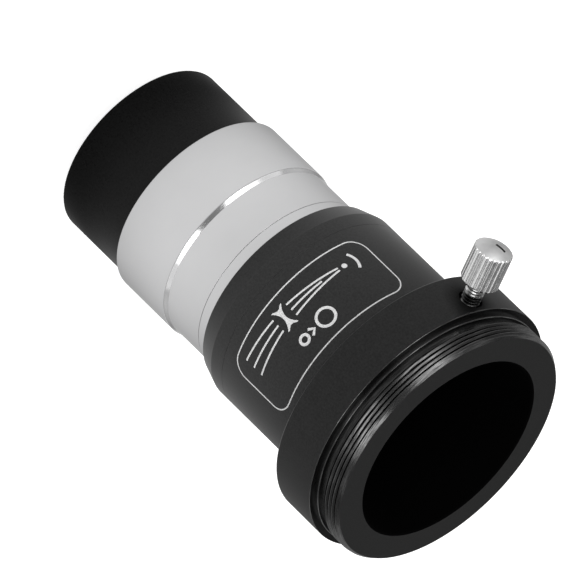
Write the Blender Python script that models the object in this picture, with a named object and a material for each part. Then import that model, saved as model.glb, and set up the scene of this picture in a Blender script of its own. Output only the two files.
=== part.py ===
"""A 1.25 inch two-power Barlow lens with an M42 camera thread and one thumbscrew.

It stands on the rim of its lens cell.  The optical axis is Z, the eyepiece goes in at the top,
and the thumbscrew points along -Y.  Lengths are in millimetres and become metres through MM.
"""
from math import cos, pi, sin, sqrt

import bmesh
import bpy
from mathutils import Matrix, Vector

MM = 0.001
SIDES = 48
SMOOTH_ANGLE = 0.6

# Heights of the joints between the pieces, up from the front rim.
CELL_TOP = 14.15
NOSE_FRONT = 14.20
NOSE_SHOULDER = 33.35
STOP_RING = (33.45, 35.67)
REDUCER_FRONT = 35.72
CONE_TOP = 38.90
REDUCER_TOP = 41.45
BARREL_FRONT = 41.50
COLLAR_BACK = 59.80
COLLAR_FRONT = 67.70
BARREL_TOP = 72.80

# Outside radii.
CELL_R = 15.00
NOSE_R = 15.875
UNDERCUT_R = 15.50
CONE_FRONT_R = 16.50
BARREL_R = 17.50
COLLAR_R = 22.00

# The polished step between the nosepiece and its undercut.
NOSE_STEP = (25.40, 26.25)

# Inside radii.
LIGHT_PATH_R = 11.60
LENS_BORE_R = 12.55
RING_BORE_R = 12.95
NOSE_BORE_R = 13.60
REDUCER_BORE_R = 14.00
EYEPIECE_BORE_R = 15.95

# Screwed joints, each a plain spigot in a plain socket.
FIT = 0.05
CELL_SPIGOT_R = 14.15
CELL_SPIGOT_TOP = 18.10
CELL_SOCKET_DEPTH = 19.50
NOSE_SPIGOT_R = 14.80
NOSE_SPIGOT_TOP = 40.00
REDUCER_SPIGOT_R = 16.30
REDUCER_SPIGOT_TOP = 45.00
SOCKET_CLEARANCE = 0.10

# Broken edges.
EDGE = 0.15
RIM_ROUND = 0.40
MOUTH_CHAMFER = 0.35
SOCKET_CHAMFER = 0.25

# M42 x 0.75 male thread at the eyepiece end.  Below it are a plain land and a relief groove.
T_PITCH = 0.75
T_CREST_R = 20.95
T_ROOT_R = 20.50
T_ORIGIN = 69.12
T_START = 69.50
T_CHAMFER_START = 72.05
T_FACE_R = 20.40
LAND_R = 21.00
LAND_TOP = 68.25
GROOVE_R = 20.40
GROOVE = (68.50, 69.40)
THREAD_FORM = ((-0.0625, T_CREST_R), (0.0625, T_CREST_R), (0.375, T_ROOT_R), (0.625, T_ROOT_R))

# Cemented negative doublet: heights on the axis, edge radius and surface radii.
LENS_R = 12.50
LENS_FRONT_EDGE = 4.10
FRONT_CURVE_R = 60.0
CEMENTED_CURVE_R = 42.0
REAR_CURVE_R = 150.0
CROWN_THICKNESS = 1.80
FLINT_THICKNESS = 3.20
CEMENT_GAP = 0.02
CURVE_STEPS = 6
LENS_SEAT = 11.02

# Retaining ring and its two spanner slots.
RING_HEIGHTS = (2.30, 4.05)
RING_R = 12.90
RING_HOLE_R = 11.40
RING_BORE_END = 4.15
SPANNER_SLOT = (1.20, 0.80)

# M3 thumbscrew, measured outwards from the optical axis.
SCREW_HEIGHT = 65.05
STUD_R = 1.50
STUD_TIP = 16.30
STUD_END = 28.00
STUD_SIDES = 24
STUD_POINT = 0.30
HEAD_R = 3.00
HEAD_START = 25.10
HEAD_CHAMFER = (0.40, 0.45)
DOME_START = 31.10
DOME_RISE = 1.00
DOME_STEPS = 3
RIDGES = 24
RIDGE_SHARE = 0.60
GROOVE_DEPTH = 0.17
RIDGE_TURN = 0.043
DRIVER_SLOT = (0.50, 0.08)
DRIVER_SLOT_TURN = 1.902
DRIVER_SLOT_TILT = 0.16
COUNTERSINK = 0.35
HOLE_REACH = (14.0, 24.0)

BLACK_ANODISED = ((0.030, 0.030, 0.032), 0.45, 0.55)
SATIN_CHROME = ((0.640, 0.640, 0.645), 0.32, 1.0)
BRIGHT_CHROME = ((0.720, 0.720, 0.730), 0.18, 1.0)
COATED_GLASS = ((0.780, 0.880, 0.860), 0.03, 0.0)


def clear_scene():
    for old in list(bpy.data.objects):
        bpy.data.objects.remove(old, do_unlink=True)


def finish_material(name, finish):
    colour, roughness, metallic = finish
    material = bpy.data.materials.new(name)
    material.use_nodes = True
    shader = material.node_tree.nodes["Principled BSDF"]
    shader.inputs["Base Color"].default_value = (*colour, 1.0)
    shader.inputs["Roughness"].default_value = roughness
    shader.inputs["Metallic"].default_value = metallic
    if finish is COATED_GLASS:
        shader.inputs["Transmission Weight"].default_value = 1.0
    return material


def add_object(name, bm, finish):
    """Turn a bmesh into a named, smooth-shaded object with its own material."""
    bmesh.ops.recalc_face_normals(bm, faces=bm.faces)
    mesh = bpy.data.meshes.new(name)
    bm.to_mesh(mesh)
    bm.free()
    mesh.shade_smooth()
    mesh.set_sharp_from_angle(angle=SMOOTH_ANGLE)
    mesh.materials.append(finish_material(name, finish))
    thing = bpy.data.objects.new(name, mesh)
    bpy.context.scene.collection.objects.link(thing)
    return thing


def spin_outline(outline, closed=True, sides=SIDES):
    """Turn (radius, height) points about Z.  An open outline starts and ends on the axis."""
    bm = bmesh.new()
    verts = [bm.verts.new((radius * MM, 0.0, height * MM)) for radius, height in outline]
    pairs = zip(verts, verts[1:] + verts[:1]) if closed else zip(verts, verts[1:])
    edges = [bm.edges.new(pair) for pair in pairs]
    bmesh.ops.spin(bm, geom=verts + edges, cent=(0, 0, 0), axis=(0, 0, 1),
                   angle=2 * pi, steps=sides, use_merge=True)
    bmesh.ops.remove_doubles(bm, verts=bm.verts, dist=1e-7)
    return bm


def turned(name, outline, finish, closed=True, sides=SIDES):
    return add_object(name, spin_outline(outline, closed, sides), finish)


def join_columns(bm, left, right):
    """Fill the strip between two neighbouring outlines, joining the rows whose keys match."""
    left_keys, right_keys = list(left), list(right)
    shared = [key for key in left_keys if key in right]
    for low, high in zip(shared, shared[1:] + shared[:1]):
        strip = []
        for verts, keys in ((left, left_keys), (right, right_keys)):
            start, stop = keys.index(low), keys.index(high)
            run = keys[start:stop + 1] if stop > start else keys[start:] + keys[:stop + 1]
            strip.append([verts[key] for key in run])
        bm.faces.new(strip[0] + strip[1][::-1])


def thread_rows(turn):
    """Rows of the T thread on the column that lies this part of a turn round the axis."""
    rows = {}
    for index in range(-8, 4 * int((BARREL_TOP - T_START) / T_PITCH + 3)):
        offset, radius = THREAD_FORM[index % 4]
        height = T_ORIGIN + T_PITCH * (index // 4 + offset + turn + 0.5 / SIDES)
        if T_START < height < BARREL_TOP:
            chamfer = (height - T_CHAMFER_START) / (BARREL_TOP - T_CHAMFER_START)
            limit = T_CREST_R + (T_FACE_R - T_CREST_R) * max(chamfer, 0.0)
            rows[index] = (min(radius, limit), height)
    return rows


def screw_hole_cutter():
    """The thumbscrew's hole and its countersink, out along -Y through the collar."""
    near, far = HOLE_REACH
    radius = STUD_R + FIT
    wide = radius + 2 * COUNTERSINK
    outline = [
        (0.0, near),
        (radius, near),
        (radius, COLLAR_R - COUNTERSINK),
        (wide, COLLAR_R + COUNTERSINK),
        (wide, far),
        (0.0, far),
    ]
    bm = spin_outline(outline, closed=False, sides=STUD_SIDES)
    return as_cutter("screw_hole_cutter", bm, outwards(SCREW_HEIGHT))


def box_cutter(name, size, matrix):
    bm = bmesh.new()
    bmesh.ops.create_cube(bm, size=1.0, matrix=Matrix.Diagonal((*(MM * side for side in size), 1.0)))
    return as_cutter(name, bm, matrix)


def as_cutter(name, bm, matrix):
    bmesh.ops.recalc_face_normals(bm, faces=bm.faces)
    mesh = bpy.data.meshes.new(name)
    bm.transform(matrix)
    bm.to_mesh(mesh)
    bm.free()
    cutter = bpy.data.objects.new(name, mesh)
    cutter.hide_render = True
    cutter.display_type = "WIRE"
    bpy.context.scene.collection.objects.link(cutter)
    return cutter


def cut(target, cutter):
    boolean = target.modifiers.new(cutter.name, "BOOLEAN")
    boolean.operation = "DIFFERENCE"
    boolean.solver = "EXACT"
    boolean.object = cutter


def outwards(height, distance=0.0):
    """Frame whose Z runs out along -Y, at this height and distance off the optical axis."""
    return Matrix.Translation((0, -distance * MM, height * MM)) @ Matrix.Rotation(pi / 2, 4, "X")


def sag(radius, curve_radius):
    """How far a spherical surface drops at this radius."""
    return curve_radius - sqrt(curve_radius ** 2 - radius ** 2)


def lens_surface(apex, curve_radius, outward=True):
    """Points on a spherical surface; the edge stands above or below the apex with the sign."""
    steps = [LENS_R * step / CURVE_STEPS for step in range(CURVE_STEPS + 1)]
    points = [(radius, apex + sag(radius, abs(curve_radius)) * (1 if curve_radius > 0 else -1))
              for radius in steps]
    return points if outward else points[::-1]


def lens_heights():
    """Heights on the axis of the doublet's four surfaces."""
    front = LENS_FRONT_EDGE + sag(LENS_R, FRONT_CURVE_R)
    crown_rear = front + CROWN_THICKNESS
    flint_front = crown_rear + CEMENT_GAP
    return front, crown_rear, flint_front, flint_front + FLINT_THICKNESS


def crown_lens():
    front, rear, _, _ = lens_heights()
    outline = lens_surface(front, -FRONT_CURVE_R)
    outline += lens_surface(rear, CEMENTED_CURVE_R, outward=False)
    return turned("crown_lens_element", outline, COATED_GLASS, closed=False)


def flint_lens():
    _, _, front, rear = lens_heights()
    outline = lens_surface(front, CEMENTED_CURVE_R)
    outline += lens_surface(rear, REAR_CURVE_R, outward=False)
    return turned("flint_lens_element", outline, COATED_GLASS, closed=False)


def lens_cell():
    rim = [(CELL_R - RIM_ROUND * (1 - sin(step * pi / 6)), RIM_ROUND * (1 - cos(step * pi / 6)))
           for step in range(4)]
    outline = rim + [
        (CELL_R, CELL_TOP - EDGE),
        (CELL_R - EDGE, CELL_TOP),
        (CELL_SPIGOT_R, CELL_TOP),
        (CELL_SPIGOT_R, CELL_SPIGOT_TOP - RIM_ROUND),
        (CELL_SPIGOT_R - RIM_ROUND, CELL_SPIGOT_TOP),
        (LIGHT_PATH_R, CELL_SPIGOT_TOP),
        (LIGHT_PATH_R, LENS_SEAT),
        (LENS_BORE_R, LENS_SEAT),
        (LENS_BORE_R, RING_BORE_END),
        (RING_BORE_R, RING_BORE_END),
        (RING_BORE_R, MOUTH_CHAMFER),
        (RING_BORE_R + MOUTH_CHAMFER, 0.0),
    ]
    return turned("lens_cell_housing", outline, BLACK_ANODISED)


def retaining_ring():
    low, high = RING_HEIGHTS
    outline = [
        (RING_R - EDGE, low),
        (RING_R, low + EDGE),
        (RING_R, high),
        (RING_HOLE_R, high),
        (RING_HOLE_R, low + EDGE),
        (RING_HOLE_R + EDGE, low),
    ]
    ring = turned("lens_retaining_ring", outline, BLACK_ANODISED)
    width, depth = SPANNER_SLOT
    size = (width, 3 * RING_R, 2 * depth)
    cut(ring, box_cutter("spanner_slot_cutter", size, Matrix.Translation((0, 0, low * MM))))
    return ring


def nosepiece():
    step_start, step_end = NOSE_STEP
    socket_r = CELL_SPIGOT_R + FIT
    outline = [
        (NOSE_R - EDGE, NOSE_FRONT),
        (NOSE_R, NOSE_FRONT + EDGE),
        (NOSE_R, step_start),
        (UNDERCUT_R, step_end),
        (UNDERCUT_R, NOSE_SHOULDER),
        (NOSE_SPIGOT_R, NOSE_SHOULDER),
        (NOSE_SPIGOT_R, NOSE_SPIGOT_TOP),
        (NOSE_BORE_R, NOSE_SPIGOT_TOP),
        (NOSE_BORE_R, CELL_SOCKET_DEPTH),
        (socket_r, CELL_SOCKET_DEPTH),
        (socket_r, NOSE_FRONT + EDGE),
        (socket_r + EDGE, NOSE_FRONT),
    ]
    return turned("nosepiece", outline, SATIN_CHROME)


def stop_ring():
    low, high = STOP_RING
    bevel = EDGE / 2
    outline = [
        (UNDERCUT_R - bevel, low),
        (UNDERCUT_R, low + bevel),
        (UNDERCUT_R, high - bevel),
        (UNDERCUT_R - bevel, high),
        (NOSE_SPIGOT_R + FIT, high),
        (NOSE_SPIGOT_R + FIT, low),
    ]
    return turned("nosepiece_stop_ring", outline, SATIN_CHROME)


def reducer():
    socket_top = NOSE_SPIGOT_TOP + SOCKET_CLEARANCE
    bevel = EDGE / 2
    outline = [
        (CONE_FRONT_R, REDUCER_FRONT),
        (BARREL_R, CONE_TOP),
        (BARREL_R, REDUCER_TOP - bevel),
        (BARREL_R - bevel, REDUCER_TOP),
        (REDUCER_SPIGOT_R, REDUCER_TOP),
        (REDUCER_SPIGOT_R, REDUCER_SPIGOT_TOP),
        (REDUCER_BORE_R, REDUCER_SPIGOT_TOP),
        (REDUCER_BORE_R, socket_top),
        (NOSE_SPIGOT_R + FIT, socket_top),
        (NOSE_SPIGOT_R + FIT, REDUCER_FRONT),
    ]
    return turned("body_reducer", outline, BLACK_ANODISED)


def barrel_outlines():
    """The plain rows of the barrel below and above its thread, going round its section."""
    bevel = EDGE / 2
    groove_low, groove_high = GROOVE
    below = [
        (REDUCER_SPIGOT_R + FIT, BARREL_FRONT),
        (BARREL_R - bevel, BARREL_FRONT),
        (BARREL_R, BARREL_FRONT + bevel),
        (BARREL_R, COLLAR_BACK),
        (COLLAR_R - EDGE, COLLAR_BACK),
        (COLLAR_R, COLLAR_BACK + EDGE),
        (COLLAR_R, COLLAR_FRONT - EDGE),
        (COLLAR_R - EDGE, COLLAR_FRONT),
        (LAND_R, COLLAR_FRONT),
        (LAND_R, LAND_TOP),
        (GROOVE_R, groove_low),
        (GROOVE_R, groove_high),
        (T_ROOT_R, T_START),
    ]
    above = [
        (T_FACE_R, BARREL_TOP),
        (EYEPIECE_BORE_R + SOCKET_CHAMFER, BARREL_TOP),
        (EYEPIECE_BORE_R, BARREL_TOP - SOCKET_CHAMFER),
        (EYEPIECE_BORE_R, REDUCER_SPIGOT_TOP + FIT),
        (REDUCER_SPIGOT_R + FIT, REDUCER_SPIGOT_TOP + FIT),
    ]
    return below, above


def barrel():
    """The rear barrel: a turned section whose thread rows climb one pitch in each turn."""
    bm = bmesh.new()
    below, above = barrel_outlines()
    columns = []
    for side in range(SIDES):
        rows = {("below", index): point for index, point in enumerate(below)}
        rows.update(thread_rows(side / SIDES))
        rows.update({("above", index): point for index, point in enumerate(above)})
        turn = 2 * pi * side / SIDES
        columns.append({key: bm.verts.new((radius * MM * cos(turn), radius * MM * sin(turn), height * MM))
                        for key, (radius, height) in rows.items()})
    for left, right in zip(columns, columns[1:]):
        join_columns(bm, left, right)
    wrapped = {key - 4 if isinstance(key, int) else key: vert for key, vert in columns[0].items()}
    join_columns(bm, columns[-1], wrapped)
    body = add_object("body_barrel", bm, BLACK_ANODISED)
    cut(body, screw_hole_cutter())
    return body


def stud():
    outline = [
        (0.0, STUD_TIP),
        (STUD_R - STUD_POINT, STUD_TIP),
        (STUD_R, STUD_TIP + STUD_POINT),
        (STUD_R, STUD_END),
        (0.0, STUD_END),
    ]
    rod = turned("thumbscrew_stud", outline, BRIGHT_CHROME, closed=False, sides=STUD_SIDES)
    rod.matrix_world = outwards(SCREW_HEIGHT)
    return rod


def knurl_column(share):
    """Radius of the knurl at this share of the way from one ridge to the next."""
    if share <= RIDGE_SHARE:
        return HEAD_R
    return HEAD_R - GROOVE_DEPTH


def dome_height(radius):
    curve_radius = (HEAD_R ** 2 + DOME_RISE ** 2) / (2 * DOME_RISE)
    return DOME_START + DOME_RISE - sag(radius, curve_radius)


def head_rows(rim):
    """One column of the thumbscrew head, from its pocket to the foot of its dome's apex."""
    chamfer_run, chamfer_rise = HEAD_CHAMFER
    foot = HEAD_R - chamfer_run
    pocket = STUD_R + FIT
    rows = [
        (pocket, STUD_END + SOCKET_CLEARANCE),
        (pocket, HEAD_START),
        (foot, HEAD_START),
        (rim, HEAD_START + (rim - foot) * chamfer_rise / chamfer_run),
    ]
    rings = [rim * (1 - step / DOME_STEPS) for step in range(DOME_STEPS)]
    return rows + [(radius, dome_height(radius)) for radius in rings]


def head():
    """The knurled, domed head: straight grooves that run out into the dome and the foot chamfer."""
    bm = bmesh.new()
    shares = (0.0, RIDGE_SHARE, (1 + RIDGE_SHARE) / 2)
    columns = []
    for ridge in range(RIDGES):
        for share in shares:
            turn = 2 * pi * (ridge + share) / RIDGES + RIDGE_TURN
            column = [bm.verts.new((radius * MM * cos(turn), radius * MM * sin(turn), height * MM))
                      for radius, height in head_rows(knurl_column(share))]
            columns.append(column)
    apex = bm.verts.new((0, 0, dome_height(0) * MM))
    pocket_end = bm.verts.new((0, 0, (STUD_END + SOCKET_CLEARANCE) * MM))
    for left, right in zip(columns, columns[1:] + columns[:1]):
        for low, high in zip(range(len(left) - 1), range(1, len(left))):
            bm.faces.new((left[low], right[low], right[high], left[high]))
        bm.faces.new((left[-1], right[-1], apex))
        bm.faces.new((right[0], left[0], pocket_end))
    knob = add_object("thumbscrew_head", bm, BRIGHT_CHROME)
    knob.matrix_world = outwards(SCREW_HEIGHT)
    width, depth = DRIVER_SLOT
    slot_frame = (outwards(SCREW_HEIGHT, dome_height(0)) @ Matrix.Rotation(DRIVER_SLOT_TURN, 4, "Z")
                  @ Matrix.Rotation(DRIVER_SLOT_TILT, 4, "Y"))
    cut(knob, box_cutter("driver_slot_cutter", (3 * HEAD_R, width, 2 * depth), slot_frame))
    return knob


def screw_axis(name, height, direction):
    """An empty on a screwed joint's axis, which its moving pieces hang from."""
    axis = bpy.data.objects.new(name, None)
    axis.location = (0, 0, height * MM)
    axis.rotation_mode = "QUATERNION"
    axis.rotation_quaternion = Vector((0, 0, 1)).rotation_difference(Vector(direction))
    bpy.context.scene.collection.objects.link(axis)
    return axis


def hang(axis, pieces):
    bpy.context.view_layer.update()
    for piece in pieces:
        piece.parent = axis
        piece.matrix_parent_inverse = axis.matrix_world.inverted()


clear_scene()
nosepiece()
stop_ring()
reducer()
barrel()
hang(screw_axis("lens_cell_axis", 0.0, (0, 0, -1)),
     [lens_cell(), retaining_ring(), crown_lens(), flint_lens()])
hang(screw_axis("thumbscrew_axis", SCREW_HEIGHT, (0, -1, 0)), [stud(), head()])
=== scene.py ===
"""The finished looks of the Barlow lens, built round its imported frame.

Lengths are in millimetres, like the numbers on a workshop drawing, and become metres through MM.
The optical axis is Z.  The thumbscrew points along -Y.
"""
from math import cos, pi, radians, sin, sqrt, tan

import bmesh
import bpy
from mathutils import Matrix, Vector


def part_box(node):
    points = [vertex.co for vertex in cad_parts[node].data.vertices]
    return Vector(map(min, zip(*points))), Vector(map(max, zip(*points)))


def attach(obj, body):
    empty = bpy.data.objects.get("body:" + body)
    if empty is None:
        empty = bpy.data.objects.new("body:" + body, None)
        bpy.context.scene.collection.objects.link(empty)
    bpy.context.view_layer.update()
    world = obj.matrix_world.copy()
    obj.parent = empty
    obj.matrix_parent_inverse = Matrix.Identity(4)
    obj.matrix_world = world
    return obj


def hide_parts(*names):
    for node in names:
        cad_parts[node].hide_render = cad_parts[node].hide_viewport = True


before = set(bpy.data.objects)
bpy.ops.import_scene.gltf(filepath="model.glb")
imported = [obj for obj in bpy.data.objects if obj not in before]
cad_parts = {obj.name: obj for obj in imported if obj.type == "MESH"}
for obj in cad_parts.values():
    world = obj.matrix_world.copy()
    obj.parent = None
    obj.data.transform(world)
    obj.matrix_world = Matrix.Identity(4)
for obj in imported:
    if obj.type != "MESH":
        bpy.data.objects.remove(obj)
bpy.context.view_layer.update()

MM = 0.001
METRE = 1000.0
COLUMNS = 240
SMOOTH_ANGLE = radians(40)
FILLET_STEPS = 4
FILLET_SHARE = 0.48
NEARLY_STRAIGHT = radians(89)


def span(node):
    """A node's lowest and highest point on the axis and its largest radius, in millimetres."""
    low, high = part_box(node)
    return low[2] * METRE, high[2] * METRE, high[0] * METRE


CELL_FRONT, CELL_SPIGOT_TOP, CELL_R = span("lens_cell_housing")
NOSE_FRONT, NOSE_SPIGOT_TOP, NOSE_R = span("nosepiece")
_, STOP_TOP, UNDERCUT_R = span("nosepiece_stop_ring")
REDUCER_FRONT, REDUCER_SPIGOT_TOP, BARREL_R = span("body_reducer")
BARREL_FRONT, BARREL_TOP, COLLAR_R = span("body_barrel")
RING_FRONT, RING_TOP, RING_R = span("lens_retaining_ring")

# Clearance of each screwed or pushed-in joint.
FIT = 0.05

# Edges along the turned outlines.
CELL_TOP = NOSE_FRONT - FIT
NOSE_STEP = (25.50, 26.15)
NOSE_SHOULDER = 33.35
RING_SEAM = 33.41
CONE_FRONT_R = 16.50
CONE_TOP = 38.90
REDUCER_TOP = 41.485
COLLAR_BACK = 59.80
COLLAR_FRONT = 67.70
LAND_R = 20.97
LAND_TOP = 68.36
GROOVE_R = 20.40
GROOVE_TOP = 69.40

# Bores and screwed joints.
LIGHT_PATH_R = 11.60
LENS_BORE_R = 12.55
RING_BORE_R = 12.95
RING_BORE_END = 4.15
LENS_SEAT = 11.02
CELL_SPIGOT_R = 14.15
CELL_SOCKET_DEPTH = 19.50
NOSE_BORE_R = 13.60
NOSE_SPIGOT_R = 14.80
REDUCER_BORE_R = 14.00
REDUCER_SPIGOT_R = 16.30
EYEPIECE_BORE_R = 15.95
SOCKET_CHAMFER = 0.25
SOCKET_CLEARANCE = 0.10
CELL_MOUTH_CHAMFER = 0.35
CELL_SPIGOT_CHAMFER = 0.25
CELL_THREAD_ENDS = (0.45, 0.35)

# Fillets: the sizes that several edges share, and then each other edge's own.
HAIR_FILLET = 0.02
SEAM_FILLET = 0.03
FINE_FILLET = 0.05
SMALL_FILLET = 0.10
EDGE_FILLET = 0.12
SOCKET_FILLET = 0.15
CELL_RIM_FILLET = 0.40
CELL_MOUTH_FILLET = 0.08
NOSE_STEP_FILLET = 0.45
NOSE_END_FILLET = 0.20
STOP_RING_FILLET = 0.06
CONE_FILLET = 0.60
REDUCER_BORE_FILLET = 0.30
COLLAR_BACK_FILLET = 0.30
COLLAR_FRONT_FILLET = 0.11
LAND_FILLET = 0.14
MOUTH_FILLET = 0.04

# How a face is told by its middle or its normal when it is given its material.
ON_WALL = 0.02
ON_LEVEL = 0.01
STEP_REACH = 0.5
STEP_SLOPE = 0.12
CUT_EDGE = 0.20
HOLE_WALL = 0.9
FACING_UP = 0.97
FACING_DOWN = -0.2
FACING_OUT = -0.5

# Screw threads: pitch, crest radius, root radius and the place of one crest.  The form gives
# where a thread's corners fall in one pitch, and how far out they stand from the root (0) to
# the crest (1).
T_THREAD = (0.75, 20.95, 20.68, 69.20)
CELL_THREAD = (0.60, CELL_SPIGOT_R, 13.85, 14.60)
STUD_THREAD = (0.50, 1.48, 1.19, 16.65)
THREAD_FORM = ((-0.45, 0.0), (-0.38, 0.12), (-0.12, 0.88), (-0.05, 1.0),
               (0.05, 1.0), (0.12, 0.88), (0.38, 0.12), (0.45, 0.0))
T_START = 69.50
T_CHAMFER_START = 72.05
T_FACE_R = 20.40

# Doublet.
LENS_R = 12.50
LENS_FRONT_EDGE = 4.10
FRONT_CURVE_R = 60.0
CEMENTED_CURVE_R = 42.0
REAR_CURVE_R = 150.0
CROWN_THICKNESS = 1.80
FLINT_THICKNESS = 3.20
CEMENT_GAP = 0.02
CURVE_STEPS = 24

# Retaining ring.
RING_HOLE_R = 11.40
SPANNER_SLOT = (1.20, 0.80)

# Thumbscrew, measured outwards from the optical axis.  A chamfer, point or edge is given by how
# far in it goes and how long it is.
SCREW_HEIGHT = 65.05
STUD_COLUMNS = 64
STUD_TIP = 16.30
STUD_POINT = (0.20, 0.35)
STUD_END = 28.00
THREAD_INTO_HEAD = 0.30
HEAD_R = 3.00
HEAD_START = 25.10
HEAD_CHAMFER = (0.40, 0.45)
FOOT_EDGE = (0.05, 0.02)
POCKET_R = 1.55
POCKET_CHAMFER = 0.10
POCKET_ROOM = 0.10

# The head's dome: its rings of faces lie closer together at its rim.
DOME_START = 31.10
DOME_RISE = 1.00
DOME_RINGS = 11
DOME_EDGE = (0.015, 0.012)
DOME_RIM_RINGS = (0.04, 0.14)

# The head's straight knurl: round ridges parted by narrower grooves.
RIDGES = 24
COLUMNS_PER_RIDGE = 12
RIDGE_CROWN = 0.02
GROOVE_SHARE = 0.44
GROOVE_DEPTH = 0.19
GROOVE_FORM = 0.8
GROOVE_TURN = radians(14.45)
SHORT_ROWS = (0.06, 0.30)

# The driver slot, which runs out on one side of the dome, and the painted shade in it.
DRIVER_SLOT = (0.50, 0.016)
DRIVER_SLOT_TURN = radians(109)
DRIVER_SLOT_TILT = 0.16
SLOT_SHADE_REACH = 0.8
SLOT_SHADE_DEPTH = 0.012

# The thumbscrew's hole through the collar, with its countersink.
HOLE_R = 1.55
HOLE_COLUMNS = 64
HOLE_SINK = 0.35
HOLE_REACH = (14.0, 24.0)

# Painted shade round the mouth of that hole, dimming the collar's gloss and darkening the stud's colour
# where the head and the black collar shade them: where it starts to thin out and where it ends, as
# distances from the mouth's middle on the collar and outwards from it on the stud, and how much of
# the metal shows through it.  Further in, it fades away and stays only on the thread's roots, as
# painted shade in them.
COLLAR_HOLE_SHADE = (2.0, 4.6, 0.10)
THREAD_HOLE_SHADE = (1.10, 1.55, 0.03)
THREAD_HOLE_SHADE_FADE = (-1.80, -0.10)
ROOT_SHINE = 0.30
CREST_SHINE = 0.06

# Printed badge on the barrel: its middle, size and line width.
BADGE_TURN = radians(-34.3)
BADGE_HEIGHT = 49.78
BADGE_SIZE = (29.60, 12.10)
BADGE_CORNER = 2.60
BADGE_LINE = 0.21
BADGE_STEP = 0.5
STROKE = 0.46
FINE_STROKE = 0.30
INK = (0.004, 0.018)

# The badge's picture of rays through a hollow lens: places across it from the middle, and its row.
RAY_ROW = -2.35
RAYS_IN = (11.90, 4.05)
RAYS_OUT = (1.05, -8.30)
RAY_SPREAD = (1.75, 1.20, 0.24)
MIDDLE_RAY_CUT = 3.2
LENS_AT = 2.55
LENS_SYMBOL = (2.30, 0.55, 4.10)
LENS_SYMBOL_STEPS = 24
FOCUS = (-9.35, 0.42)
SCREEN = (2.55, radians(38), 0.35)
DOT_HOLE_R = 0.02

# The badge's enlarging mark: a small ring, a pointer and a ring twice its size.
MARK_ROW = 2.60
SMALL_RING = (2.80, 0.75)
LARGE_RING = (-1.75, 1.50)
POINTER = (1.45, 0.62, 0.70)

# Camera, as an azimuth round from -Y, an elevation and a roll about the line of sight.
CAMERA_TURN = radians(54.34)
CAMERA_TILT = radians(29.5)
CAMERA_ROLL = radians(-134.23)
CAMERA_DISTANCE = 1.5192
CAMERA_AIM = Vector((-0.00029, -0.00040, 0.03389))
CAMERA_LENS = 647.8
CAMERA_SENSOR = 36.0
CAMERA_FAR_END = 20.0

# Studio lights: name, turn from the studio's front and tilt in degrees, width and height in metres,
# radiance, and distance in metres from the studio's middle, which they point at.  The front is an
# azimuth round from -Y.
FRONT_TURN = radians(54.34)
STUDIO_MIDDLE = Vector((0.0, 0.0, 0.04))
SOFTBOXES = (
    ("left_key", -35.5, 38.5, (0.38, 0.86), 3.9, 0.90),
    ("right_key", 33.5, 38.5, (0.38, 0.86), 3.9, 0.90),
    ("left_wing", -55, 38.5, (0.26, 0.86), 1.8, 0.90),
    ("right_wing", 53, 38.5, (0.26, 0.86), 1.8, 0.90),
    ("left_fill", -78, 18, (0.46, 0.44), 0.62, 0.90),
    ("right_fill", 78, 18, (0.46, 0.44), 0.62, 0.90),
    ("left_back", -140, 35, (0.50, 0.50), 1.1, 0.90),
    ("right_back", 140, 35, (0.50, 0.50), 1.1, 0.90),
    ("top", 0, 88, (0.80, 0.80), 0.40, 1.20),
)
WORLD_GLOW = 0.19
BACKDROP_R = 2.9
WALL_SEGMENTS = 96
FLOOR_HEIGHT = -0.004
FLOOR_GLOW = 0.85
CARD_DROP = 0.002

# The reflector card's glow at distances from the axis, and how it falls off from front to back.  Its dim
# middle is a painted shadow of the part, which only reflections see.
CARD_REACH = 300.0
CARD_GLOW = ((14.0, 0.40), (24.0, 0.22), (28.0, 0.15), (34.0, 0.34), (42.0, 0.84), (66.0, 1.12),
             (86.0, 1.09), (98.0, 0.86), (124.0, 0.42), (160.0, 0.36), (300.0, 0.60))
CARD_FALL = (0.79, 1.01)
CARD_FALL_REACH = 0.05

# The low wall that only reflections see, and its glow at heights above the floor.
LOW_WALL_R = 2.8
LOW_WALL_TOP = 700.0
LOW_WALL_GLOW = ((0.0, 0.62), (400.0, 0.62), (700.0, 0.20))


# ---------------------------------------------------------------- outlines and turned solids

def soften(outline):
    """Round the corners of a closed outline of (radius, height, fillet) points."""
    points = [Vector(point[:2]) for point in outline]
    fillets = [point[2] if len(point) > 2 else 0.0 for point in outline]
    soft = []
    for index, corner in enumerate(points):
        before = points[index - 1] - corner
        after = points[(index + 1) % len(points)] - corner
        fillet = fillets[index]
        half = before.angle(after) / 2
        if fillet == 0.0 or half > NEARLY_STRAIGHT:
            soft.append(tuple(corner))
            continue
        reach = min(fillet / tan(half), FILLET_SHARE * min(before.length, after.length))
        fillet = reach * tan(half)
        middle = corner + (before.normalized() + after.normalized()).normalized() * fillet / sin(half)
        start = corner + before.normalized() * reach - middle
        stop = corner + after.normalized() * reach - middle
        for step in range(FILLET_STEPS + 1):
            spoke = start.lerp(stop, step / FILLET_STEPS).normalized() * fillet
            soft.append(tuple(middle + spoke))
    return soft


def join_columns(bm, left, right):
    """Fill the strip between two neighbouring outlines, joining the rows whose keys match."""
    left_keys, right_keys = list(left), list(right)
    left_place = {key: place for place, key in enumerate(left_keys)}
    right_place = {key: place for place, key in enumerate(right_keys)}
    shared = [key for key in left_keys if key in right_place]
    for low, high in zip(shared, shared[1:] + shared[:1]):
        strip = []
        for verts, keys, place in ((left, left_keys, left_place), (right, right_keys, right_place)):
            start, stop = place[low], place[high]
            run = keys[start:stop + 1] if stop > start else keys[start:] + keys[:stop + 1]
            strip.append([verts[key] for key in run])
        bm.faces.new(strip[0] + strip[1][::-1])


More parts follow.
